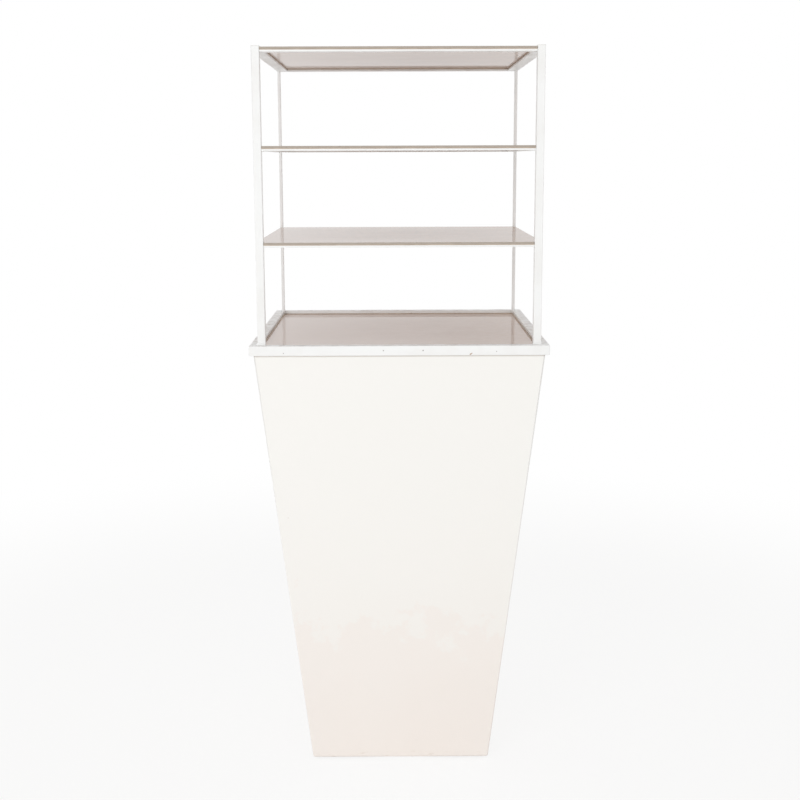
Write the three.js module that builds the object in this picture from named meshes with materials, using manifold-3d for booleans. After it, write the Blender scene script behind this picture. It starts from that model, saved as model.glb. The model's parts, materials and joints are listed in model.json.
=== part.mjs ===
// Tiered display table: a tapered plinth, a rim tray on top of it and an open riser with three shelves.
// Millimetres, +Z up, the front faces -Y, and the origin is on the floor under the middle of the plinth.

import * as THREE from 'three';
import { mergeVertices } from 'three/addons/utils/BufferGeometryUtils.js';
import Module from 'manifold-3d';

const wasm = await Module();
wasm.setup();

// Clearance between pieces that are fitted, glued or welded together, and round a turning stem
const gap = 0.3;
const runningGap = 0.1;

// Rim tray: a mitred frame of square tube round a recessed panel
const rimSize = 750;
const rimTopHeight = 1170;
const rimWidth = 25;
const rimHeight = 25;
const rimWall = 1.5;
const trayDepth = 10;
const trayPanelThick = 5;
const beadWidth = 3;
const beadHeight = 3.5;
const screwInset = 100;
const screwRadius = 2.5;
const screwHeadRadius = 5;
const screwHeadHeight = 2.5;
const screwBite = 12;

// Plinth: four mitred boards that lean outwards
const rimOverhang = 10;
const plinthFootSize = 480;
const floorReveal = 4;
const boardThick = 18;
const baseBoardHeight = 22;
const baseBoardThick = 18;
const deckThick = 18;
const cornerBlockLeg = 40;

// Levelling feet under the base board
const footInset = 60;
const padRadius = 22;
const padTopRadius = 18;
const padThick = 7;
const socketDepth = 4.5;
const stemRadius = 4;
const stemRise = 6;
const collarRadius = 7.5;
const collarThick = 4;
const insertRadius = 6.5;
const insertFlangeRadius = 12;
const insertFlangeThick = 1.5;

// Riser: two square tubes at the front, two flat bars set edge-on at the back
const postInset = 20;
const postWidth = 20;
const postWall = 1.5;
const rearPostWidth = 8;
const rearPostDepth = 20;
const postTopRise = 3;
const capThick = 2;
const capPlug = 10;

// Shelves: flat rails laid round the edge, a bedding strip on them and a panel on top
const tierNames = ['lower', 'middle', 'top'];
const firstTier = 255;
const tierPitch = 235;
const railWidth = 30;
const railThick = 5;
const beddingThick = 2;
const beddingSetback = 0.5;
const shelfPanelThick = 5;

// Round pieces are drawn with this many sides
const roundSides = 32;

// Places that follow from the sizes above
const rimHalf = rimSize / 2;
const openingHalf = rimHalf - rimWidth;
const plinthTop = rimTopHeight - rimHeight;
const plinthTopHalf = rimHalf - rimOverhang;
const plinthFootHalf = plinthFootSize / 2;
const lean = Math.atan((plinthTopHalf - plinthFootHalf) / (plinthTop - floorReveal));
const trayBoardThick = rimHeight - trayDepth - trayPanelThick;
const riserHalf = rimHalf - postInset;
const postTop = firstTier + tierPitch * (tierNames.length - 1) + postTopRise;
const tongueDepth = trayDepth - beadHeight - gap;
const past = 1;

const finishes = {
  lacquer: { color: 0xf8f6f2, roughness: 0.42, metalness: 0 },
  board: { color: 0xb99a72, roughness: 0.85, metalness: 0 },
  powderCoat: { color: 0xf6f6f5, roughness: 0.3, metalness: 0 },
  glossPanel: { color: 0xcdc3bd, roughness: 0.1, metalness: 0 },
  brownSeal: { color: 0x8c7f70, roughness: 0.6, metalness: 0 },
  whitePlastic: { color: 0xf2f2f0, roughness: 0.4, metalness: 0 },
  zincSteel: { color: 0xb9bcbe, roughness: 0.35, metalness: 1 },
};

function piece(name, geometry, finish) {
  const mesh = new THREE.Mesh(geometry, new THREE.MeshStandardMaterial(finishes[finish]));
  mesh.name = name;
  return mesh;
}

// A closed geometry as a solid that can be joined and cut
function solidOf(geometry) {
  const bare = geometry.clone();
  bare.deleteAttribute('normal');
  bare.deleteAttribute('uv');
  const merged = mergeVertices(bare);
  return new wasm.Manifold(new wasm.Mesh({
    numProp: 3,
    vertProperties: new Float32Array(merged.attributes.position.array),
    triVerts: new Uint32Array(merged.index.array),
  }));
}

function geometryOf(solid) {
  const mesh = solid.getMesh();
  const geometry = new THREE.BufferGeometry();
  geometry.setAttribute('position', new THREE.BufferAttribute(mesh.vertProperties, 3));
  geometry.setIndex(new THREE.BufferAttribute(mesh.triVerts, 1));
  geometry.computeVertexNormals();
  return geometry;
}

function cut(geometry, ...tools) {
  const start = solidOf(geometry);
  return geometryOf(tools.reduce((solid, tool) => solid.subtract(solidOf(tool)), start));
}

function keep(geometry, region) {
  return geometryOf(solidOf(geometry).intersect(solidOf(region)));
}

function block(x0, x1, y0, y1, z0, z1) {
  const box = new THREE.BoxGeometry(x1 - x0, y1 - y0, z1 - z0);
  return box.translate((x0 + x1) / 2, (y0 + y1) / 2, (z0 + z1) / 2);
}

function slab(shape, z0, z1) {
  return new THREE.ExtrudeGeometry(shape, { depth: z1 - z0, bevelEnabled: false }).translate(0, 0, z0);
}

function rod(radius, z0, z1, sides = roundSides) {
  const cylinder = new THREE.CylinderGeometry(radius, radius, z1 - z0, sides);
  return cylinder.rotateX(Math.PI / 2).translate(0, 0, (z0 + z1) / 2);
}

// A profile of [radius, height] points turned round the Z axis
function turned(points) {
  const profile = points.map(([radius, height]) => new THREE.Vector2(radius, height));
  return new THREE.LatheGeometry(profile, roundSides).rotateX(Math.PI / 2);
}

// The front quarter of the plan, cut back from both diagonals by half the clearance
function frontQuarter(reach, z0, z1) {
  const back = gap / Math.SQRT2;
  const quarter = new THREE.Shape();
  quarter.moveTo(0, -back);
  quarter.lineTo(-reach, -reach - back);
  quarter.lineTo(reach, -reach - back);
  return slab(quarter, z0, z1);
}

// Half the plinth's width at a height, moved in from the outside face by a depth square to that face
function plinthHalf(height, depth) {
  const outside = plinthFootHalf + (height - floorReveal) * Math.tan(lean);
  return outside - depth / Math.cos(lean);
}

// Four-sided tapered block: radii are to its corners, and turn is the angle of its first corner
function taperedBlock(topRadius, footRadius, z0, z1, turn) {
  const frustum = new THREE.CylinderGeometry(topRadius, footRadius, z1 - z0, 4);
  return frustum.rotateY(turn).rotateX(Math.PI / 2).translate(0, 0, (z0 + z1) / 2);
}

function plinthBlock(depth, z0, z1) {
  const topRadius = plinthHalf(z1, depth) * Math.SQRT2;
  const footRadius = plinthHalf(z0, depth) * Math.SQRT2;
  return taperedBlock(topRadius, footRadius, z0, z1, Math.PI / 4);
}

function fourCorners(offset) {
  return [
    ['front_left', -offset, -offset],
    ['front_right', offset, -offset],
    ['back_right', offset, offset],
    ['back_left', -offset, offset],
  ];
}

const quarterTurns = ['front', 'right', 'back', 'left'];

function plinthPanels() {
  const shell = cut(
    plinthBlock(0, floorReveal, plinthTop),
    plinthBlock(boardThick, floorReveal - past, plinthTop + past),
  );
  const panel = keep(shell, frontQuarter(rimSize, floorReveal - past, plinthTop + past));
  return quarterTurns.map((side, turn) => {
    const mesh = piece(`plinth_panel_${side}`, panel, 'lacquer');
    mesh.rotation.z = turn * Math.PI / 2;
    return mesh;
  });
}

const footOffset = plinthHalf(baseBoardHeight, boardThick) - footInset;
const baseBoardTop = baseBoardHeight + baseBoardThick;
const deckUnder = plinthTop - deckThick;
const screwOffset = openingHalf - screwInset;

function baseBoard() {
  const board = plinthBlock(boardThick + gap, baseBoardHeight, baseBoardTop);
  const holes = fourCorners(footOffset).map(([, x, y]) => (
    rod(insertRadius + gap, baseBoardHeight - past, baseBoardTop + past).translate(x, y, 0)
  ));
  return piece('base_board', cut(board, ...holes), 'board');
}

function deckBoard() {
  const board = plinthBlock(boardThick + gap, deckUnder, plinthTop);
  const holes = fourCorners(screwOffset).map(([, x, y]) => (
    rod(screwRadius + gap, plinthTop - screwBite - gap, plinthTop + past).translate(x, y, 0)
  ));
  return piece('deck_board', cut(board, ...holes), 'board');
}

// Triangular blocks in the inside corners, from the base board up to the deck
function cornerBlocks() {
  const z0 = baseBoardTop + gap;
  const z1 = deckUnder - gap;
  const depth = boardThick + gap;
  const core = taperedBlock(
    plinthHalf(z1, depth) * 2 - cornerBlockLeg,
    plinthHalf(z0, depth) * 2 - cornerBlockLeg,
    z0,
    z1,
    0,
  );
  const corners = cut(plinthBlock(depth, z0, z1), core);
  const corner = keep(corners, block(-rimHalf, 0, -rimHalf, 0, z0, z1));
  return fourCorners(0).map(([place], turn) => {
    const mesh = piece(`corner_block_${place}`, corner, 'board');
    mesh.rotation.z = turn * Math.PI / 2;
    return mesh;
  });
}

// Each foot: an insert let into the base board, a stem with a hexagon collar and a pad on the floor
function levellingFeet() {
  const flangeUnder = baseBoardHeight - insertFlangeThick;
  const bore = stemRadius + runningGap;
  const insert = turned([
    [bore, flangeUnder],
    [insertFlangeRadius, flangeUnder],
    [insertFlangeRadius, baseBoardHeight],
    [insertRadius, baseBoardHeight],
    [insertRadius, baseBoardTop],
    [bore, baseBoardTop],
    [bore, flangeUnder],
  ]);
  const collarTop = flangeUnder - gap;
  const stemFoot = padThick - socketDepth + gap;
  const shank = solidOf(rod(stemRadius, stemFoot, baseBoardTop + stemRise));
  const stem = geometryOf(shank.add(solidOf(rod(collarRadius, collarTop - collarThick, collarTop, 6))));
  const pad = turned([
    [0, 0],
    [padRadius, 0],
    [padTopRadius, padThick],
    [bore, padThick],
    [bore, padThick - socketDepth],
    [0, padThick - socketDepth],
  ]);
  return fourCorners(footOffset).map(([place, x, y]) => {
    const foot = new THREE.Group();
    foot.position.set(x, y, 0);
    foot.add(
      piece(`foot_insert_${place}`, insert, 'zincSteel'),
      piece(`foot_stem_${place}`, stem, 'zincSteel'),
      piece(`foot_pad_${place}`, pad, 'zincSteel'),
    );
    return foot;
  });
}

// Rim bars, in the tray's own frame with its zero on top of the plinth
function rimBars() {
  const innerY = -openingHalf;
  const tube = cut(
    block(-rimHalf, rimHalf, -rimHalf, innerY, 0, rimHeight),
    block(
      -rimHalf - past,
      rimHalf + past,
      -rimHalf + rimWall,
      innerY - rimWall,
      rimWall,
      rimHeight - rimWall,
    ),
  );
  const bar = keep(tube, frontQuarter(rimSize, -past, rimHeight + past));
  return quarterTurns.map((side, turn) => {
    const mesh = piece(`rim_${side}`, bar, 'powderCoat');
    mesh.rotation.z = turn * Math.PI / 2;
    return mesh;
  });
}

function squareOutline(half) {
  const outline = new THREE.Shape();
  outline.moveTo(-half, -half);
  outline.lineTo(half, -half);
  outline.lineTo(half, half);
  outline.lineTo(-half, half);
  return outline;
}

// The board that the rim drops over, with its screws, the panel and the bead round the panel
function trayFilling() {
  const fit = openingHalf - gap;
  const headHole = screwHeadRadius + gap;
  const shankHole = screwRadius + gap;
  const panelTop = trayBoardThick + trayPanelThick;
  const headUnder = trayBoardThick - screwHeadHeight;
  const places = fourCorners(screwOffset);
  const sink = turned([
    [0, -past],
    [shankHole, -past],
    [shankHole, headUnder - gap],
    [headHole, trayBoardThick - gap],
    [headHole, trayBoardThick + past],
    [0, trayBoardThick + past],
  ]);
  const sinks = places.map(([, x, y]) => sink.clone().translate(x, y, 0));
  const board = cut(slab(squareOutline(fit), 0, trayBoardThick), ...sinks);
  const screw = turned([
    [0, -screwBite],
    [screwRadius, -screwBite],
    [screwRadius, headUnder],
    [screwHeadRadius, trayBoardThick],
    [0, trayBoardThick],
  ]);
  const screws = places.map(([place, x, y]) => {
    const mesh = piece(`board_screw_${place}`, screw, 'zincSteel');
    mesh.position.set(x, y, 0);
    return mesh;
  });
  const ring = squareOutline(fit);
  ring.holes.push(squareOutline(fit - beadWidth));
  return [
    piece('tray_board', board, 'board'),
    ...screws,
    piece('tray_panel', slab(squareOutline(fit), trayBoardThick, panelTop), 'glossPanel'),
    piece('tray_bead', slab(ring, panelTop, panelTop + beadHeight), 'brownSeal'),
  ];
}

// What a post loses at its foot, so that it stands on the rim and hooks over the rim's inner edge
function rimShoulder(xSide, ySide) {
  const edge = openingHalf - gap;
  const reach = rimHalf + past;
  const low = -tongueDepth - past;
  const across = xSide < 0 ? [-reach, -edge] : [edge, reach];
  const along = ySide < 0 ? [-reach, -edge] : [edge, reach];
  return [
    block(across[0], across[1], -reach, reach, low, 0),
    block(-reach, reach, along[0], along[1], low, 0),
  ];
}

function span(outside, width, side) {
  return side < 0 ? [-outside, -outside + width] : [outside - width, outside];
}

function frontPost(name, xSide) {
  const tubeTop = postTop - capThick;
  const [x0, x1] = span(riserHalf, postWidth, xSide);
  const [y0, y1] = span(riserHalf, postWidth, -1);
  const tube = block(x0, x1, y0, y1, -tongueDepth, tubeTop);
  const inside = block(
    x0 + postWall,
    x1 - postWall,
    y0 + postWall,
    y1 - postWall,
    -tongueDepth - past,
    tubeTop + past,
  );
  const post = piece(`post_${name}`, cut(tube, inside, ...rimShoulder(xSide, -1)), 'powderCoat');
  const fit = postWall + gap;
  const plug = block(x0 + fit, x1 - fit, y0 + fit, y1 - fit, tubeTop - capPlug, tubeTop + past / 2);
  const plate = block(x0, x1, y0, y1, tubeTop, postTop);
  const cap = piece(`post_cap_${name}`, geometryOf(solidOf(plug).add(solidOf(plate))), 'whitePlastic');
  return [post, cap];
}

function rearPost(name, xSide) {
  const [x0, x1] = span(riserHalf, rearPostWidth, xSide);
  const [y0, y1] = span(riserHalf, rearPostDepth, 1);
  const bar = block(x0, x1, y0, y1, -tongueDepth, postTop);
  return piece(`post_${name}`, cut(bar, ...rimShoulder(xSide, 1)), 'powderCoat');
}

// Room for the four posts through a shelf, between two heights
function postNotches(z0, z1) {
  const frontX = riserHalf - postWidth - gap;
  const rearX = riserHalf - rearPostWidth - gap;
  const frontY = riserHalf - postWidth - gap;
  const rearY = riserHalf - rearPostDepth - gap;
  const reach = riserHalf + past;
  return [
    block(-reach, -frontX, -reach, -frontY, z0, z1),
    block(frontX, reach, -reach, -frontY, z0, z1),
    block(-reach, -rearX, rearY, reach, z0, z1),
    block(rearX, reach, rearY, reach, z0, z1),
  ];
}

// One shelf, in its own frame with its zero on top of the panel
function shelf(tier) {
  const panelUnder = -shelfPanelThick;
  const railTop = panelUnder - beddingThick;
  const railUnder = railTop - railThick;
  const inner = riserHalf - railWidth;
  const notches = postNotches(railUnder - past, past);
  const group = new THREE.Group();
  const bar = keep(
    block(-riserHalf, riserHalf, -riserHalf, -inner, railUnder, railTop),
    frontQuarter(rimSize, railUnder - past, railTop + past),
  );
  quarterTurns.forEach((side, turn) => {
    const turnedBar = bar.clone().rotateZ(turn * Math.PI / 2);
    group.add(piece(`${tier}_rail_${side}`, cut(turnedBar, ...notches), 'powderCoat'));
  });
  const ring = squareOutline(riserHalf - beddingSetback);
  ring.holes.push(squareOutline(inner));
  const bedding = cut(slab(ring, railTop, panelUnder), ...notches);
  const panel = cut(slab(squareOutline(riserHalf), panelUnder, 0), ...notches);
  group.add(
    piece(`${tier}_bedding`, bedding, 'brownSeal'),
    piece(`${tier}_panel`, panel, 'glossPanel'),
  );
  return group;
}

const plinth = new THREE.Group();
plinth.add(...plinthPanels(), baseBoard(), deckBoard(), ...cornerBlocks(), ...levellingFeet());

const tray = new THREE.Group();
tray.position.z = plinthTop;
tray.add(...rimBars(), ...trayFilling());

const riser = new THREE.Group();
riser.position.z = rimTopHeight;
riser.add(...frontPost('front_left', -1), ...frontPost('front_right', 1));
riser.add(rearPost('back_left', -1), rearPost('back_right', 1));
tierNames.forEach((tier, level) => {
  const tierShelf = shelf(tier);
  tierShelf.position.z = firstTier + level * tierPitch;
  riser.add(tierShelf);
});

const displayTable = new THREE.Group();
displayTable.add(plinth, tray, riser);

export default displayTable;
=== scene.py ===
import json
import math

import bmesh
import bpy
from mathutils import Matrix, Vector

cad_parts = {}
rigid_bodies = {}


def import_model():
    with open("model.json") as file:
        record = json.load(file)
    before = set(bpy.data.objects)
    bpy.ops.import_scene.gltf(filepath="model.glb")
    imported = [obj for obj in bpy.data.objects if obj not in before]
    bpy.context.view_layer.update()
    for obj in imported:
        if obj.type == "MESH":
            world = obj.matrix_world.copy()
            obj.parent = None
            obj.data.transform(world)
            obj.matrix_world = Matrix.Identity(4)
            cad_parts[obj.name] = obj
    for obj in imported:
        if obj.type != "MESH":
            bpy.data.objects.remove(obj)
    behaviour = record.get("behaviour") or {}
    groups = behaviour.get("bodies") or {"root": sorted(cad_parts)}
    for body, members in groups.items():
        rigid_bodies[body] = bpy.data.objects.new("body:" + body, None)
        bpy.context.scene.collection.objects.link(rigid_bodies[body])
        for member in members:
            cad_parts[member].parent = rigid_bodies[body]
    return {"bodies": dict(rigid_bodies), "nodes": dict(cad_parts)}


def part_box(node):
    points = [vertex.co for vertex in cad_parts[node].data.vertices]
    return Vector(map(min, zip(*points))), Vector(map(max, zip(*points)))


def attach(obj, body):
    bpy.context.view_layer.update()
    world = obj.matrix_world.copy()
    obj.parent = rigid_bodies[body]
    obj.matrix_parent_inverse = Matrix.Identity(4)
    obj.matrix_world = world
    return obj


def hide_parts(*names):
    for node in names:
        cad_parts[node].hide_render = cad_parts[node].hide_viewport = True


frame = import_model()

kept = set(frame["nodes"].values()) | set(frame["bodies"].values())
for leftover in [o for o in bpy.data.objects if o not in kept]:
    bpy.data.objects.remove(leftover)
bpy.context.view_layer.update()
print("frame loaded,", len(frame["nodes"]), "nodes")

sides = ("front", "right", "back", "left")
tiers = ("lower", "middle", "top")
frontPlaces = ("front_left", "front_right")
backPlaces = ("back_left", "back_right")
hair = 0.0001  # places closer than this count as one


# sRGB 0-255 to the linear colour that the sockets take
def paint(red, green, blue):
    def linear(level):
        level = level / 255
        return level / 12.92 if level <= 0.04045 else ((level + 0.055) / 1.055) ** 2.4
    return (linear(red), linear(green), linear(blue), 1.0)


def addNode(tree, kind, settings=None, **inputs):
    node = tree.nodes.new(kind)
    for key, value in (settings or {}).items():
        setattr(node, key, value)
    for key, value in inputs.items():
        node.inputs[key.replace("_", " ")].default_value = value
    return node


# a plain value is set on the socket, an output is linked to it
def feed(tree, socket, value):
    if isinstance(value, (int, float, tuple)):
        socket.default_value = value
    else:
        tree.links.new(value, socket)


def noiseIn(tree, vector, scale, detail, rough=0.5):
    noise = addNode(tree, "ShaderNodeTexNoise", Detail=detail, Roughness=rough)
    feed(tree, noise.inputs["Vector"], vector)
    feed(tree, noise.inputs["Scale"], scale)
    return noise.outputs["Fac"]


def mathIn(tree, operation, first, second):
    node = addNode(tree, "ShaderNodeMath", {"operation": operation})
    feed(tree, node.inputs[0], first)
    feed(tree, node.inputs[1], second)
    return node.outputs[0]


# two values added up, each by its own share
def sumIn(tree, first, firstShare, second, secondShare):
    first = mathIn(tree, "MULTIPLY", first, firstShare)
    return mathIn(tree, "ADD", first, mathIn(tree, "MULTIPLY", second, secondShare))


# a value pulled from one range to another along a smooth step
def stepIn(tree, value, low, high, toLow=0.0, toHigh=1.0):
    node = addNode(tree, "ShaderNodeMapRange", {"interpolation_type": "SMOOTHSTEP"})
    levels = {"Value": value, "From Min": low, "From Max": high, "To Min": toLow, "To Max": toHigh}
    for label, level in levels.items():
        feed(tree, node.inputs[label], level)
    return node.outputs["Result"]


def axisIn(tree, vector, axis):
    split = addNode(tree, "ShaderNodeSeparateXYZ")
    feed(tree, split.inputs[0], vector)
    return split.outputs[axis]


def lengthIn(tree, vector):
    length = addNode(tree, "ShaderNodeVectorMath", {"operation": "LENGTH"})
    feed(tree, length.inputs[0], vector)
    return length.outputs["Value"]


# a shared effect: it takes a Vector and the values given, and puts out one value
def startGroup(name, output, **values):
    group = bpy.data.node_groups.new(name, "ShaderNodeTree")
    group.interface.new_socket("Vector", in_out="INPUT", socket_type="NodeSocketVector")
    for label, value in values.items():
        kind = "NodeSocketVector" if isinstance(value, tuple) else "NodeSocketFloat"
        socket = group.interface.new_socket(label, in_out="INPUT", socket_type=kind)
        socket.default_value = value
    group.interface.new_socket(output, in_out="OUTPUT", socket_type="NodeSocketFloat")
    start = group.nodes.new("NodeGroupInput")
    end = group.nodes.new("NodeGroupOutput")
    return group, start.outputs, end.inputs[output]


peelShape = {"broadScale": 0.22, "fineShare": 0.65, "broadShare": 0.5}


# the waviness of a sprayed coat, fine over broad
def makeOrangePeel():
    group, given, height = startGroup("orangePeel", "Height", Scale=700.0)
    fine = noiseIn(group, given["Vector"], given["Scale"], detail=2.0)
    broadScale = mathIn(group, "MULTIPLY", given["Scale"], peelShape["broadScale"])
    broad = noiseIn(group, given["Vector"], broadScale, detail=1.0)
    mixed = sumIn(group, fine, peelShape["fineShare"], broad, peelShape["broadShare"])
    group.links.new(mixed, height)
    return group


speckShape = {"wobbleScale": 900.0, "wobble": (0.0012, 0.0012, 0.0012), "core": 0.55}


# sparse round specks: a share of the cells gets one
def makeSpecks():
    group, given, mask = startGroup("specks", "Mask", Scale=60.0, Size=0.12, Share=0.2)
    wobble = addNode(group, "ShaderNodeTexNoise", Scale=speckShape["wobbleScale"], Detail=1.0)
    group.links.new(given["Vector"], wobble.inputs["Vector"])
    bent = addNode(group, "ShaderNodeVectorMath", {"operation": "MULTIPLY_ADD"})
    group.links.new(wobble.outputs["Color"], bent.inputs[0])
    bent.inputs[1].default_value = speckShape["wobble"]
    group.links.new(given["Vector"], bent.inputs[2])
    cells = addNode(group, "ShaderNodeTexVoronoi", {"feature": "F1"})
    group.links.new(bent.outputs[0], cells.inputs["Vector"])
    group.links.new(given["Scale"], cells.inputs["Scale"])
    core = mathIn(group, "MULTIPLY", given["Size"], speckShape["core"])
    near = stepIn(group, cells.outputs["Distance"], given["Size"], core)
    pick = addNode(group, "ShaderNodeSeparateColor")
    group.links.new(cells.outputs["Color"], pick.inputs["Color"])
    chosen = mathIn(group, "LESS_THAN", pick.outputs["Red"], given["Share"])
    group.links.new(mathIn(group, "MULTIPLY", near, chosen), mask)
    return group


# soft clouds for uneven paint, grime and tone
def makeClouds():
    group, given, mask = startGroup("clouds", "Mask", Scale=4.0, Low=0.4, High=0.65)
    cloud = noiseIn(group, given["Vector"], given["Scale"], detail=4.0, rough=0.55)
    group.links.new(stepIn(group, cloud, given["Low"], given["High"]), mask)
    return group


wearShape = {
    "patchScale": 0.12,
    "chipShare": 0.6,
    "patchShare": 0.4,
    "limit": 0.72,
    "amountPull": 0.2,
    "softness": 0.05,
}


# worn paint on the softened edges, which carry the edgeBand attribute
def makeEdgeWear():
    group, given, mask = startGroup("edgeWear", "Mask", Scale=90.0, Amount=0.35)
    band = addNode(group, "ShaderNodeAttribute", {"attribute_name": "edgeBand"})
    chips = noiseIn(group, given["Vector"], given["Scale"], detail=3.0, rough=0.6)
    patchScale = mathIn(group, "MULTIPLY", given["Scale"], wearShape["patchScale"])
    patches = noiseIn(group, given["Vector"], patchScale, detail=1.0)
    together = sumIn(group, chips, wearShape["chipShare"], patches, wearShape["patchShare"])
    pull = mathIn(group, "MULTIPLY", given["Amount"], wearShape["amountPull"])
    limit = mathIn(group, "SUBTRACT", wearShape["limit"], pull)
    worn = stepIn(group, together, limit, mathIn(group, "ADD", limit, wearShape["softness"]))
    group.links.new(mathIn(group, "MULTIPLY", worn, band.outputs["Fac"]), mask)
    return group


dustShape = {"steep": 0.55, "level": 0.95, "bare": 0.35, "full": 0.8}


# fine settled dust on faces that look up; the powder coat's dark dust there is partly painted shade on its
# tops
def makeTopDust():
    group, given, mask = startGroup("topDust", "Mask", Scale=35.0)
    facing = addNode(group, "ShaderNodeNewGeometry").outputs["Normal"]
    up = stepIn(group, axisIn(group, facing, "Z"), dustShape["steep"], dustShape["level"])
    drifts = noiseIn(group, given["Vector"], given["Scale"], detail=5.0, rough=0.65)
    fall = stepIn(group, drifts, dustShape["bare"], dustShape["full"])
    group.links.new(mathIn(group, "MULTIPLY", up, fall), mask)
    return group


scuffShape = {"drawnOut": (1.0, 1.0, 3.2), "bare": 0.58, "full": 0.7}


# kicks and mop marks in a band above the floor, drawn out sideways
def makeFootScuffs():
    group, given, mask = startGroup("footScuffs", "Mask", Foot=0.0, Reach=0.05, Scale=40.0)
    top = mathIn(group, "ADD", given["Foot"], given["Reach"])
    low = stepIn(group, axisIn(group, given["Vector"], "Z"), top, given["Foot"])
    drawn = addNode(group, "ShaderNodeMapping", Scale=scuffShape["drawnOut"])
    group.links.new(given["Vector"], drawn.inputs["Vector"])
    marks = noiseIn(group, drawn.outputs[0], given["Scale"], detail=4.0, rough=0.6)
    marks = stepIn(group, marks, scuffShape["bare"], scuffShape["full"])
    group.links.new(mathIn(group, "MULTIPLY", low, marks), mask)
    return group


# long fibres: the Stretch vector squeezes the noise along the grain
def makeFibres():
    group, given, value = startGroup("fibres", "Value", Stretch=(1.0, 1.0, 0.06), Scale=220.0)
    squeezed = addNode(group, "ShaderNodeVectorMath", {"operation": "MULTIPLY"})
    group.links.new(given["Vector"], squeezed.inputs[0])
    group.links.new(given["Stretch"], squeezed.inputs[1])
    grain = noiseIn(group, squeezed.outputs[0], given["Scale"], detail=4.0, rough=0.6)
    group.links.new(grain, value)
    return group


spotShape = {"raggedScale": 520.0, "ragged": 0.7, "inner": 1.05, "outer": 1.35}


# one oval mark with a ragged edge, at a place on the piece
def makeSpot():
    middle, size = (0.0, 0.0, 0.0), (0.003, 0.003, 0.003)
    group, given, mask = startGroup("spot", "Mask", Middle=middle, Turn=middle, Size=size)
    local = addNode(group, "ShaderNodeMapping", {"vector_type": "TEXTURE"})
    sockets = {"Vector": "Vector", "Middle": "Location", "Turn": "Rotation", "Size": "Scale"}
    for label, socket in sockets.items():
        group.links.new(given[label], local.inputs[socket])
    rough = noiseIn(group, given["Vector"], spotShape["raggedScale"], detail=2.0)
    ragged = mathIn(group, "MULTIPLY", rough, spotShape["ragged"])
    far = mathIn(group, "ADD", lengthIn(group, local.outputs[0]), ragged)
    group.links.new(stepIn(group, far, spotShape["outer"], spotShape["inner"]), mask)
    return group


groups = {
    "spot": makeSpot(),
    "orangePeel": makeOrangePeel(),
    "specks": makeSpecks(),
    "clouds": makeClouds(),
    "edgeWear": makeEdgeWear(),
    "topDust": makeTopDust(),
    "footScuffs": makeFootScuffs(),
    "fibres": makeFibres(),
}
print("shared effects built,", len(groups))


# one material under construction: its tree, its shader and its object coordinates
class Finish:
    def __init__(self, name, **constants):
        self.material = bpy.data.materials.new(name)
        self.material.use_nodes = True
        self.tree = self.material.node_tree
        self.shader = self.tree.nodes["Principled BSDF"]
        for key, value in constants.items():
            self.shader.inputs[key.replace("_", " ")].default_value = value
        self.coords = addNode(self.tree, "ShaderNodeTexCoord").outputs["Object"]

    def effect(self, name, **values):
        node = addNode(self.tree, "ShaderNodeGroup", {"node_tree": groups[name]}, **values)
        self.tree.links.new(self.coords, node.inputs["Vector"])
        return node.outputs[0]

    def blend(self, mask, under, over):
        node = addNode(self.tree, "ShaderNodeMix", {"data_type": "RGBA", "clamp_factor": True})
        for place, value in ((0, mask), (6, under), (7, over)):  # its factor and colour sockets
            feed(self.tree, node.inputs[place], value)
        return node.outputs[2]

    # a colour over a tone, by a share of a mask
    def over(self, tone, colour, mask, share):
        return self.blend(mathIn(self.tree, "MULTIPLY", mask, share), tone, colour)

    # a colour over a tone, where a shared effect says so
    def wash(self, tone, colour, share, effectName, **values):
        return self.over(tone, colour, self.effect(effectName, **values), share)

    def colour(self, result):
        self.tree.links.new(result, self.shader.inputs["Base Color"])

    def roughness(self, mask, low, high):
        result = stepIn(self.tree, mask, 0.0, 1.0, low, high)
        self.tree.links.new(result, self.shader.inputs["Roughness"])

    def relief(self, height, strength, distance):
        bump = addNode(self.tree, "ShaderNodeBump", Strength=strength, Distance=distance)
        self.tree.links.new(height, bump.inputs["Height"])
        self.tree.links.new(bump.outputs["Normal"], self.shader.inputs["Normal"])


powderLook = {
    "white": paint(247, 248, 248),
    "shade": paint(243, 243, 242),
    # dust on the tops, dark and heavy enough to be partly painted shade, as if the tops were less lit
    "dust": paint(186, 178, 171),
    "dustShare": 0.8,
    "chip": paint(150, 140, 130),
    "chipShare": 0.4,
    "speck": paint(168, 160, 152),
    "speckShare": 0.7,
}


# each mark has a middle, a turn, a size, a tone and a share
def makePowderCoat(name, marks=()):
    look = powderLook
    finish = Finish(name, Specular_IOR_Level=0.35)
    uneven = finish.effect("clouds", Scale=9.0, Low=0.38, High=0.7)
    tone = finish.blend(uneven, look["white"], look["shade"])
    # the tops darkened: settled dust and painted shade together
    tone = finish.wash(tone, look["dust"], look["dustShare"], "topDust", Scale=38.0)
    tone = finish.wash(tone, look["speck"], look["speckShare"], "specks", Scale=26.0, Size=0.05, Share=0.16)
    tone = finish.wash(tone, look["chip"], look["chipShare"], "edgeWear", Scale=80.0, Amount=0.2)
    for mark in marks:
        spot = finish.effect("spot", Middle=mark["middle"], Turn=mark["turn"], Size=mark["size"])
        tone = finish.over(tone, mark["tone"], spot, mark["share"])
    finish.colour(tone)
    finish.roughness(uneven, low=0.3, high=0.42)
    finish.relief(finish.effect("orangePeel", Scale=650.0), strength=0.12, distance=0.0006)
    return finish.material


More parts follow.
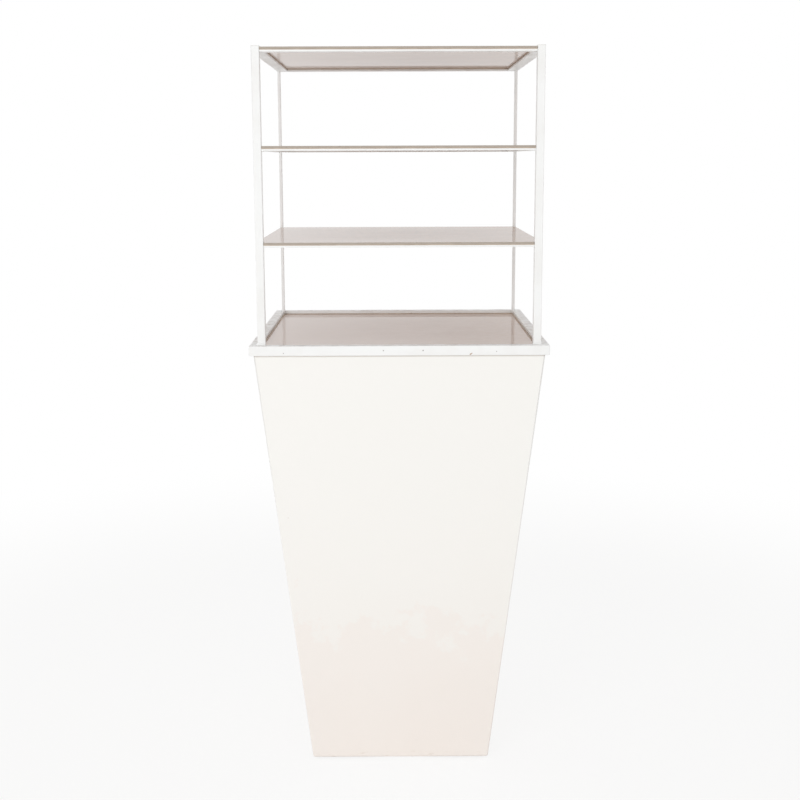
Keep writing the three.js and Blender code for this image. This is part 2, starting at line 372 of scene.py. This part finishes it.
lacquerLook = {
    "white": paint(249, 248, 245),
    "warm": paint(246, 241, 236),
    "warmLeast": 0.65,
    "warmReach": 0.9,
    "blush": paint(246, 235, 229),
    "blushTop": 0.4,
    "blushSoft": 0.03,
    "blushRagged": 0.8,
    "blushShare": 0.32,
    "scuff": paint(206, 190, 174),
    "scuffReach": 0.03,
    "scuffShare": 0.4,
    "wearShare": 0.35,
    "speck": paint(214, 206, 197),
    "speckShare": 0.6,
    "joint": paint(176, 162, 152),
    "rimShadowReach": 0.006,  # painted shade: the shadow line under the rim's overhang, laid onto the top of the plinth
    "rimShadowShare": 0.75,
    "foot": 0.004,
}


def makeLacquer():
    look = lacquerLook
    finish = Finish("whiteLacquer", Specular_IOR_Level=0.3)
    tree = finish.tree
    height = axisIn(tree, finish.coords, "Z")
    uneven = finish.effect("clouds", Scale=2.2, Low=0.35, High=0.7)
    # the lacquer turns warmer and darker towards the foot, below warmReach
    grime = stepIn(tree, height, look["warmReach"], look["foot"])
    patchy = mathIn(tree, "MULTIPLY", uneven, 1 - look["warmLeast"])
    warmth = mathIn(tree, "MULTIPLY", grime, mathIn(tree, "ADD", patchy, look["warmLeast"]))
    tone = finish.blend(warmth, look["white"], look["warm"])
    # the pink stain rises from the foot to a ragged shore
    ragged = noiseIn(tree, finish.coords, scale=8.0, detail=9.0, rough=0.7)
    ragged = mathIn(tree, "MULTIPLY", ragged, look["blushRagged"])
    shore = mathIn(tree, "ADD", height, mathIn(tree, "SUBTRACT", ragged, look["blushRagged"] / 2))
    dry, wet = look["blushTop"] + look["blushSoft"], look["blushTop"] - look["blushSoft"]
    tone = finish.over(tone, look["blush"], stepIn(tree, shore, dry, wet), look["blushShare"])
    marks = finish.effect("footScuffs", Foot=look["foot"], Reach=look["scuffReach"], Scale=30.0)
    tone = finish.over(tone, look["scuff"], marks, look["scuffShare"])
    tone = finish.wash(tone, look["speck"], look["speckShare"], "specks", Scale=17.0, Size=0.035, Share=0.2)
    tone = finish.wash(tone, look["scuff"], look["wearShare"], "edgeWear", Scale=60.0, Amount=0.3)
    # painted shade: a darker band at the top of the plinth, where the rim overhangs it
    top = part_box("plinth_panel_front")[1].z
    joint = stepIn(tree, height, top - look["rimShadowReach"], top)
    tone = finish.over(tone, look["joint"], joint, look["rimShadowShare"])
    finish.colour(tone)
    finish.roughness(uneven, low=0.36, high=0.5)
    finish.relief(finish.effect("orangePeel", Scale=260.0), strength=0.14, distance=0.0009)
    return finish.material


panelLook = {
    "taupe": paint(226, 212, 205),
    "deep": paint(206, 185, 172),
    "dust": paint(232, 223, 216),
    "dustShare": 0.18,
    "speckShare": 0.45,
    "cloudShare": 0.3,
    "reflectionFrom": -0.2,
    "reflectionTo": 0.6,
    "coat": 0.66,
}


# taupe under a clear gloss, with a painted reflection of the room that deepens it to the right
def makeGlossPanel():
    look = panelLook
    finish = Finish(
        "glossTaupePanel",
        Specular_IOR_Level=0.0,
        Coat_Weight=look["coat"],
        Coat_Roughness=0.035,
        Coat_IOR=1.5,
    )
    tree = finish.tree
    cloud = finish.effect("clouds", Scale=2.4, Low=0.3, High=0.72)
    # painted reflection: the room's darker side, laid in as a deeper taupe towards the right
    cloud = mathIn(tree, "MULTIPLY", cloud, look["cloudShare"])
    reflectionRamp = mathIn(tree, "ADD", axisIn(tree, finish.coords, "X"), cloud)
    reflectionRamp = stepIn(tree, reflectionRamp, look["reflectionFrom"], look["reflectionTo"])
    tone = finish.blend(reflectionRamp, look["taupe"], look["deep"])
    tone = finish.wash(tone, look["dust"], look["dustShare"], "topDust", Scale=60.0)
    tone = finish.wash(tone, look["dust"], look["speckShare"], "specks", Scale=42.0, Size=0.04, Share=0.12)
    finish.colour(tone)
    smears = finish.effect("clouds", Scale=14.0, Low=0.3, High=0.7)
    finish.roughness(smears, low=0.1, high=0.2)
    finish.relief(finish.effect("orangePeel", Scale=70.0), strength=0.03, distance=0.0006)
    return finish.material


edgeLook = {
    "beige": paint(198, 188, 178),
    "brown": paint(160, 149, 138),
    "fleck": paint(134, 121, 109),
    "fleckShare": 0.5,
}


# cut board edge of a panel: pressed layers that run along the edge
def makePanelEdge():
    look = edgeLook
    finish = Finish("cutPanelEdge", Specular_IOR_Level=0.2)
    layers = finish.effect("fibres", Stretch=(0.05, 0.05, 1.0), Scale=900.0)
    tone = finish.blend(layers, look["beige"], look["brown"])
    tone = finish.wash(tone, look["fleck"], look["fleckShare"], "specks", Scale=330.0, Size=0.3, Share=0.3)
    finish.colour(tone)
    finish.roughness(layers, low=0.55, high=0.75)
    finish.relief(layers, strength=0.2, distance=0.0003)
    return finish.material


sealLook = {
    "brown": paint(202, 187, 171),
    "dark": paint(186, 170, 154),
    "dust": paint(210, 199, 187),
    "dustShare": 0.35,
}


def makeBrownSeal():
    look = sealLook
    finish = Finish("brownSeal", Specular_IOR_Level=0.25)
    uneven = finish.effect("clouds", Scale=30.0, Low=0.35, High=0.7)
    tone = finish.blend(uneven, look["brown"], look["dark"])
    finish.colour(finish.wash(tone, look["dust"], look["dustShare"], "topDust", Scale=90.0))
    finish.roughness(uneven, low=0.5, high=0.66)
    finish.relief(finish.effect("orangePeel", Scale=420.0), strength=0.2, distance=0.0005)
    return finish.material


boardLook = {
    "pale": paint(190, 158, 116),
    "dark": paint(158, 124, 84),
    "chip": paint(118, 88, 56),
    "chipShare": 0.5,
}


def makeRawBoard():
    look = boardLook
    finish = Finish("rawBoard", Specular_IOR_Level=0.15)
    felted = finish.effect("clouds", Scale=160.0, Low=0.3, High=0.7)
    tone = finish.blend(felted, look["pale"], look["dark"])
    finish.colour(
        finish.wash(tone, look["chip"], look["chipShare"], "specks", Scale=260.0, Size=0.28, Share=0.25)
    )
    finish.roughness(felted, low=0.75, high=0.92)
    finish.relief(felted, strength=0.25, distance=0.0004)
    return finish.material


softwoodLook = {"early": paint(224, 190, 140), "late": paint(186, 140, 88)}


def makeSoftwood():
    finish = Finish("planedSoftwood", Specular_IOR_Level=0.2)
    grain = finish.effect("fibres", Stretch=(1.0, 1.0, 0.03), Scale=180.0)
    rings = stepIn(finish.tree, grain, low=0.35, high=0.65)
    finish.colour(finish.blend(rings, softwoodLook["early"], softwoodLook["late"]))
    finish.roughness(grain, low=0.55, high=0.75)
    finish.relief(grain, strength=0.2, distance=0.0004)
    return finish.material


zincLook = {
    "bright": paint(196, 198, 200),
    "dull": paint(166, 170, 173),
    "grime": paint(122, 116, 106),
    "grimeShare": 0.4,
}


def makeZincSteel():
    look = zincLook
    finish = Finish("zincSteel", Metallic=1.0)
    spangle = finish.effect("clouds", Scale=240.0, Low=0.35, High=0.65)
    tone = finish.blend(spangle, look["bright"], look["dull"])
    finish.colour(
        finish.wash(tone, look["grime"], look["grimeShare"], "clouds", Scale=55.0, Low=0.5, High=0.72)
    )
    finish.roughness(spangle, low=0.28, high=0.46)
    turned = finish.effect("fibres", Stretch=(0.08, 0.08, 1.0), Scale=1600.0)
    finish.relief(turned, strength=0.1, distance=0.0002)
    return finish.material


plasticLook = {
    "white": paint(243, 243, 241),
    "shade": paint(235, 234, 231),
    # the powder coat's dust colour, darkened there to be partly painted shade, here at a lighter share on
    # the cap tops
    "dust": powderLook["dust"],
    "dustShare": 0.2,
}


def makeWhitePlastic():
    look = plasticLook
    finish = Finish("whiteCapPlastic", Specular_IOR_Level=0.4)
    uneven = finish.effect("clouds", Scale=60.0, Low=0.3, High=0.75)
    tone = finish.blend(uneven, look["white"], look["shade"])
    finish.colour(finish.wash(tone, look["dust"], look["dustShare"], "topDust", Scale=80.0))
    finish.roughness(uneven, low=0.4, high=0.52)
    finish.relief(finish.effect("orangePeel", Scale=1400.0), strength=0.12, distance=0.0003)
    return finish.material


powderCoat = makePowderCoat("whitePowderCoat")
lacquer = makeLacquer()
glossPanel = makeGlossPanel()
panelEdge = makePanelEdge()
brownSeal = makeBrownSeal()
rawBoard = makeRawBoard()
softwood = makeSoftwood()
zincSteel = makeZincSteel()
whitePlastic = makeWhitePlastic()
print("finishes built,", len(bpy.data.materials))


def finishPiece(name, bm, materials, body, nodes):
    mesh = bpy.data.meshes.new(name)
    bm.to_mesh(mesh)
    bm.free()
    for material in materials:
        mesh.materials.append(material)
    piece = bpy.data.objects.new(name, mesh)
    bpy.context.scene.collection.objects.link(piece)
    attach(piece, body)
    if nodes:
        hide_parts(*nodes)
    return piece


# post and front_left make postFrontLeft
def camelName(first, place):
    return first + "".join(word.capitalize() for word in place.split("_"))


# rounds the picked edges, and marks the new faces as the band where paint wears
def soften(bm, edges, width, segments):
    band = bm.faces.layers.float.get("edgeBand") or bm.faces.layers.float.new("edgeBand")
    made = bmesh.ops.bevel(
        bm,
        geom=edges,
        offset=width,
        offset_type="OFFSET",
        segments=segments,
        profile=0.5,
        affect="EDGES",
        clamp_overlap=True,
        material=-1,
    )
    for face in made["faces"]:
        face[band] = 1.0
        face.smooth = True


sharpAngle = 0.6  # radians between the faces at an edge that is worth rounding


def sharpEdges(bm, test):
    return [e for e in bm.edges if e.is_manifold and e.calc_face_angle() > sharpAngle and test(e)]


def copyOf(nodeName):
    bm = bmesh.new()
    bm.from_mesh(frame["nodes"][nodeName].data)
    bmesh.ops.remove_doubles(bm, verts=bm.verts, dist=hair / 10)
    bmesh.ops.dissolve_limit(bm, angle_limit=math.radians(0.5), verts=bm.verts, edges=bm.edges)
    return bm


# a flat square ring: outside and inside half widths, standing from low to high
def squareRing(outside, inside, low, high):
    bm = bmesh.new()
    foot = Matrix.Translation((0, 0, low))
    bmesh.ops.create_grid(bm, x_segments=1, y_segments=1, size=outside, matrix=foot)
    bmesh.ops.inset_individual(bm, faces=bm.faces[:], thickness=outside - inside, use_even_offset=True)
    middle = min(bm.faces, key=lambda f: f.calc_center_median().length_squared)
    bmesh.ops.delete(bm, geom=[middle], context="FACES")
    grown = bmesh.ops.extrude_face_region(bm, geom=bm.faces[:])
    risen = [v for v in grown["geom"] if isinstance(v, bmesh.types.BMVert)]
    bmesh.ops.translate(bm, vec=(0, 0, high - low), verts=risen)
    bmesh.ops.recalc_face_normals(bm, faces=bm.faces)
    return bm


plinthShape = {"cornerRound": 0.0035, "cornerSegments": 3, "footRound": 0.005, "footSegments": 4}


# the four painted panels as the one filled and sanded box that the paint makes of them
def makePlinth():
    shape = plinthShape
    panelNode = frame["nodes"]["plinth_panel_front"]
    low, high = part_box("plinth_panel_front")
    footDepths = [-v.co.y for v in panelNode.data.vertices if v.co.z < low.z + hair]
    topDepths = [-v.co.y for v in panelNode.data.vertices if v.co.z > high.z - hair]
    outside, inside = max(footDepths), min(footDepths)
    bm = squareRing(outside, inside, low.z, high.z)
    for foot, top in ((outside, max(topDepths)), (inside, min(topDepths))):
        flared = [v for v in bm.verts if v.co.z > high.z - hair and abs(abs(v.co.x) - foot) < hair]
        bmesh.ops.scale(bm, vec=(top / foot, top / foot, 1), verts=flared)
    bm.normal_update()
    slack = 0.001

    def onFoot(vert):
        return vert.co.z < low.z + hair and min(abs(vert.co.x), abs(vert.co.y)) > outside - slack

    def onCorner(vert):
        reach = outside - shape["footRound"] - slack
        return abs(abs(vert.co.x) - abs(vert.co.y)) < hair / 10 and abs(vert.co.x) > reach

    # the foot is rounded first, because the short arcs at the corners would hold it back
    footEdges = sharpEdges(bm, lambda e: all(map(onFoot, e.verts)))
    soften(bm, footEdges, shape["footRound"], shape["footSegments"])
    rising = [e for e in bm.edges if abs(e.verts[0].co.z - e.verts[1].co.z) > hair]
    corners = [e for e in rising if all(map(onCorner, e.verts))]
    soften(bm, corners, shape["cornerRound"], shape["cornerSegments"])
    names = [f"plinth_panel_{side}" for side in sides]
    return finishPiece("plinthBox", bm, [lacquer], "table", names)


rimShape = {"edgeRound": 0.0018, "segments": 3}
rimMarks = [  # one brown chip and four grey specks, along the front bar and up from its lower edge
    {"along": 0.178, "up": 0.004, "turn": (0, -0.6, 0), "size": (0.0046, 0.003, 0.0018),
     "tone": paint(172, 140, 112), "share": 0.85},
    {"along": -0.289, "up": 0.007, "turn": (0, 0, 0), "size": (0.0016, 0.0016, 0.0016),
     "tone": paint(160, 152, 146), "share": 0.75},
    {"along": -0.040, "up": 0.013, "turn": (0, 0, 0), "size": (0.0018, 0.0018, 0.0018),
     "tone": paint(150, 142, 136), "share": 0.75},
    {"along": 0.059, "up": 0.013, "turn": (0, 0, 0), "size": (0.0019, 0.0019, 0.0019),
     "tone": paint(136, 130, 126), "share": 0.8},
    {"along": 0.242, "up": 0.010, "turn": (0, 0, 0), "size": (0.0015, 0.0015, 0.0015),
     "tone": paint(160, 152, 146), "share": 0.7},
]


# the welded and ground rim frame under one coat of powder
def makeRim():
    low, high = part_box("rim_front")
    bm = squareRing(-low.y, -high.y, low.z, high.z)
    soften(bm, sharpEdges(bm, lambda e: True), rimShape["edgeRound"], rimShape["segments"])
    names = [f"rim_{side}" for side in sides]
    marks = [dict(mark, middle=(mark["along"], low.y, low.z + mark["up"])) for mark in rimMarks]
    coat = makePowderCoat("rimPowderCoat", marks)
    return finishPiece("rimFrame", bm, [coat], "table", names)


beadShape = {"stand": 0.0022, "round": 0.0018, "segments": 4}


# the bead round the tray panel, rolled over on its inner edge
def makeBead():
    low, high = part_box("tray_bead")
    inside = min(abs(v.co.x) for v in frame["nodes"]["tray_bead"].data.vertices)
    top = low.z + beadShape["stand"]
    bm = squareRing(high.x, inside, low.z, top)

    def onInnerTop(vert):
        return vert.co.z > top - hair and max(abs(vert.co.x), abs(vert.co.y)) < inside + hair

    rolled = sharpEdges(bm, lambda e: all(map(onInnerTop, e.verts)))
    soften(bm, rolled, beadShape["round"], beadShape["segments"])
    return finishPiece("trayBead", bm, [brownSeal], "table", ["tray_bead"])


panelShape = {"edgeRound": 0.0005, "segments": 2, "level": 0.9}  # level: how far up a glossy face looks


# a glossy panel with its cut edges left brown
def makePanel(nodeName, pieceName):
    bm = copyOf(nodeName)
    rims = sharpEdges(bm, lambda e: abs(e.verts[0].co.z - e.verts[1].co.z) < hair)
    soften(bm, rims, panelShape["edgeRound"], panelShape["segments"])
    for face in bm.faces:
        face.material_index = 0 if abs(face.normal.z) > panelShape["level"] else 1
    return finishPiece(pieceName, bm, [glossPanel, panelEdge], "table", [nodeName])


postShape = {"tubeRound": 0.0018, "flatRound": 0.0009, "segments": 3, "shortest": 0.5}


# the long outer edges of a post are rounded, and the bore of a tube stays sharp
def makePost(place, rounding):
    nodeName = f"post_{place}"
    low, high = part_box(nodeName)
    middle = (low + high) / 2
    half = (high - low) / 2
    bm = copyOf(nodeName)

    def onCorner(vert):
        away = vert.co - middle
        return abs(abs(away.x) - half.x) < 2 * hair and abs(abs(away.y) - half.y) < 2 * hair

    outer = sharpEdges(
        bm, lambda e: e.calc_length() > postShape["shortest"] and all(map(onCorner, e.verts))
    )
    soften(bm, outer, rounding, postShape["segments"])
    name = camelName("post", place)
    return finishPiece(name, bm, [powderCoat], "table", [nodeName])


capShape = {"crownRound": 0.001, "segments": 3}


def makeCap(place):
    nodeName = f"post_cap_{place}"
    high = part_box(nodeName)[1]
    bm = copyOf(nodeName)
    crown = sharpEdges(bm, lambda e: all(v.co.z > high.z - hair for v in e.verts))
    soften(bm, crown, capShape["crownRound"], capShape["segments"])
    name = camelName("cap", place)
    return finishPiece(name, bm, [whitePlastic], "table", [nodeName])


railShape = {"edgeRound": 0.0008, "segments": 2, "shortest": 0.3}


def makeRail(tier, side):
    nodeName = f"{tier}_rail_{side}"
    bm = copyOf(nodeName)
    longEdges = sharpEdges(bm, lambda e: e.calc_length() > railShape["shortest"])
    soften(bm, longEdges, railShape["edgeRound"], railShape["segments"])
    name = f"{tier}Rail{side.capitalize()}"
    return finishPiece(name, bm, [powderCoat], "table", [nodeName])


weldShape = {"reach": 0.0046, "rise": 0.006, "steps": 9, "swell": 0.12, "dip": 0.096}


# one run of weld along a post's foot: from start to end on the rim, swelling outwards
def layWeld(bm, start, end, outwards):
    stride = (end - start) / weldShape["steps"]
    across = (Vector((0, 0, 0)), outwards * weldShape["reach"], Vector((0, 0, weldShape["rise"])))
    front = bm.faces.new([bm.verts.new(start + offset) for offset in across])
    for step in range(weldShape["steps"]):
        grown = bmesh.ops.extrude_face_region(bm, geom=[front])
        if step:  # only the first face stays, as the end of the run
            bmesh.ops.delete(bm, geom=[front], context="FACES_ONLY")
        verts = [v for v in grown["geom"] if isinstance(v, bmesh.types.BMVert)]
        front = next(f for f in grown["geom"] if isinstance(f, bmesh.types.BMFace))
        bmesh.ops.translate(bm, vec=stride, verts=verts)
        ripple = 1 + (weldShape["swell"] if step % 2 else -weldShape["dip"])
        base = Matrix.Translation(-(start + stride * (step + 1)))
        bmesh.ops.scale(bm, vec=(ripple, ripple, ripple), space=base, verts=verts)


# each post is welded on its two outer sides
def makeWelds():
    bm = bmesh.new()
    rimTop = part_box("rim_front")[1].z
    for place in frontPlaces + backPlaces:
        low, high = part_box(f"post_{place}")
        sideX = -1 if high.x < 0 else 1
        sideY = -1 if high.y < 0 else 1
        outX, inX = (low.x, high.x) if sideX < 0 else (high.x, low.x)
        outY, inY = (low.y, high.y) if sideY < 0 else (high.y, low.y)
        corner = Vector((outX, outY, rimTop))
        layWeld(bm, corner, Vector((outX, inY, rimTop)), Vector((sideX, 0, 0)))
        layWeld(bm, corner, Vector((inX, outY, rimTop)), Vector((0, sideY, 0)))
    bmesh.ops.recalc_face_normals(bm, faces=bm.faces)
    return finishPiece("postWelds", bm, [powderCoat], "table", [])


makePlinth()
makeRim()
makeBead()
makePanel("tray_panel", "trayPanel")
for tier in tiers:
    makePanel(f"{tier}_panel", f"{tier}ShelfPanel")
    for side in sides:
        makeRail(tier, side)
for place in frontPlaces:
    makePost(place, postShape["tubeRound"])
    makeCap(place)
for place in backPlaces:
    makePost(place, postShape["flatRound"])
makeWelds()
print("pieces built")


# the carried-over solids, by the start of their names
nodeFinishes = {
    "base_board": rawBoard,
    "deck_board": rawBoard,
    "tray_board": rawBoard,
    "corner_block": softwood,
    "foot_": zincSteel,
    "board_screw": zincSteel,
    "lower_bedding": brownSeal,
    "middle_bedding": brownSeal,
    "top_bedding": brownSeal,
}
for name, node in frame["nodes"].items():
    for start, material in nodeFinishes.items():
        if name.startswith(start):
            node.data.materials.clear()
            node.data.materials.append(material)
print("carried-over nodes finished")


# 1 for what the eye and the gloss see, 0 for the rays that light the object
def lookedAt(tree):
    path = addNode(tree, "ShaderNodeLightPath")
    return mathIn(tree, "MAXIMUM", path.outputs["Is Camera Ray"], path.outputs["Is Glossy Ray"])


def mixShaders(tree, share, under, over):
    mixed = addNode(tree, "ShaderNodeMixShader")
    for socket, source in zip(mixed.inputs, (share, under, over)):
        tree.links.new(source, socket)
    return mixed.outputs[0]


studioWhite = (1.0, 1.0, 1.0, 1.0)
floorLook = {
    "size": 30.0,
    "tone": paint(246, 245, 243),
    "near": 1.3,
    "far": 3.2,
    "shadowShare": 0.18,
    "clearReach": 0.24,  # under the plinth, so that its base board isn't black from below
}


# a pale floor that keeps the shadow near the table, runs out to plain white and is clear from below
def makeFloor():
    look = floorLook
    bm = bmesh.new()
    bmesh.ops.create_grid(bm, x_segments=1, y_segments=1, size=look["size"])
    mesh = bpy.data.meshes.new("studioFloor")
    bm.to_mesh(mesh)
    bm.free()
    floor = bpy.data.objects.new("studioFloor", mesh)
    bpy.context.scene.collection.objects.link(floor)
    material = bpy.data.materials.new("studioFloor")
    material.use_nodes = True
    tree = material.node_tree
    tree.nodes.clear()
    away = lengthIn(tree, addNode(tree, "ShaderNodeTexCoord").outputs["Object"])
    whiteness = stepIn(tree, away, look["near"], look["far"], 1 - look["shadowShare"], 1.0)
    matt = addNode(tree, "ShaderNodeBsdfDiffuse", Color=look["tone"])
    white = addNode(tree, "ShaderNodeEmission", Color=studioWhite, Strength=1.0)
    share = mathIn(tree, "MULTIPLY", lookedAt(tree), whiteness)
    solid = mixShaders(tree, share, matt.outputs[0], white.outputs[0])
    below = addNode(tree, "ShaderNodeNewGeometry").outputs["Backfacing"]
    lighting = addNode(tree, "ShaderNodeLightPath").outputs["Is Diffuse Ray"]
    under = mathIn(tree, "LESS_THAN", away, look["clearReach"])
    passing = mathIn(tree, "MAXIMUM", below, mathIn(tree, "MULTIPLY", under, lighting))
    clear = addNode(tree, "ShaderNodeBsdfTransparent")
    out = addNode(tree, "ShaderNodeOutputMaterial")
    tree.links.new(mixShaders(tree, passing, solid, clear.outputs[0]), out.inputs["Surface"])
    mesh.materials.append(material)


airLook = {"tone": (1.0, 0.995, 0.99, 1.0), "strength": 0.7}


# soft light from all round, in front of a white background
def makeWorld():
    world = bpy.data.worlds.new("studioAir")
    bpy.context.scene.world = world
    world.use_nodes = True
    tree = world.node_tree
    tree.nodes.clear()
    soft = addNode(tree, "ShaderNodeBackground", Color=airLook["tone"], Strength=airLook["strength"])
    white = addNode(tree, "ShaderNodeBackground", Color=studioWhite, Strength=1.0)
    out = addNode(tree, "ShaderNodeOutputWorld")
    air = mixShaders(tree, lookedAt(tree), soft.outputs[0], white.outputs[0])
    tree.links.new(air, out.inputs["Surface"])


lamps = {
    "keyLamp": {"place": (-4.4, -7.0, 2.6), "aim": (0.0, 0.0, 1.15), "size": 3.4, "power": 162.0},
    "fillLamp": {"place": (3.0, -7.4, 1.2), "aim": (0.0, 0.0, 0.9), "size": 4.0, "power": 58.0},
}


# hidden from gloss, which would show the lamp as a hard white patch
def makeLamp(name, place, aim, size, power):
    lamp = bpy.data.lights.new(name, "AREA")
    lamp.shape = "SQUARE"
    lamp.size = size
    lamp.energy = power
    holder = bpy.data.objects.new(name, lamp)
    holder.location = place
    holder.rotation_euler = (Vector(aim) - Vector(place)).to_track_quat("-Z", "Y").to_euler()
    holder.visible_glossy = False
    bpy.context.scene.collection.objects.link(holder)


# the photograph's view, from standing eye height and a little left of the middle
cameraView = {
    "place": (-0.01245, -3.427, 1.629),
    "pitch": 9.90,
    "yaw": -0.255,
    "roll": -0.19,
    "sensor": 36,
    "focalPixels": 1240.5,
    "imagePixels": 800,
    "middleRow": 375,
}


def makeCamera():
    view = cameraView
    lens = bpy.data.cameras.new("photoView")
    lens.sensor_width = view["sensor"]
    lens.lens = view["focalPixels"] / view["imagePixels"] * view["sensor"]
    lens.shift_y = -(view["imagePixels"] / 2 - view["middleRow"]) / view["imagePixels"]
    camera = bpy.data.objects.new("photoView", lens)
    turn = (
        Matrix.Rotation(math.radians(view["yaw"]), 4, "Z")
        @ Matrix.Rotation(math.radians(90 - view["pitch"]), 4, "X")
        @ Matrix.Rotation(math.radians(view["roll"]), 4, "Z")
    )
    camera.matrix_world = Matrix.Translation(view["place"]) @ turn
    bpy.context.scene.collection.objects.link(camera)
    bpy.context.scene.camera = camera


makeFloor()
makeWorld()
for name, settings in lamps.items():
    makeLamp(name, **settings)
makeCamera()
bpy.context.scene.view_settings.view_transform = "Standard"
print("studio built")
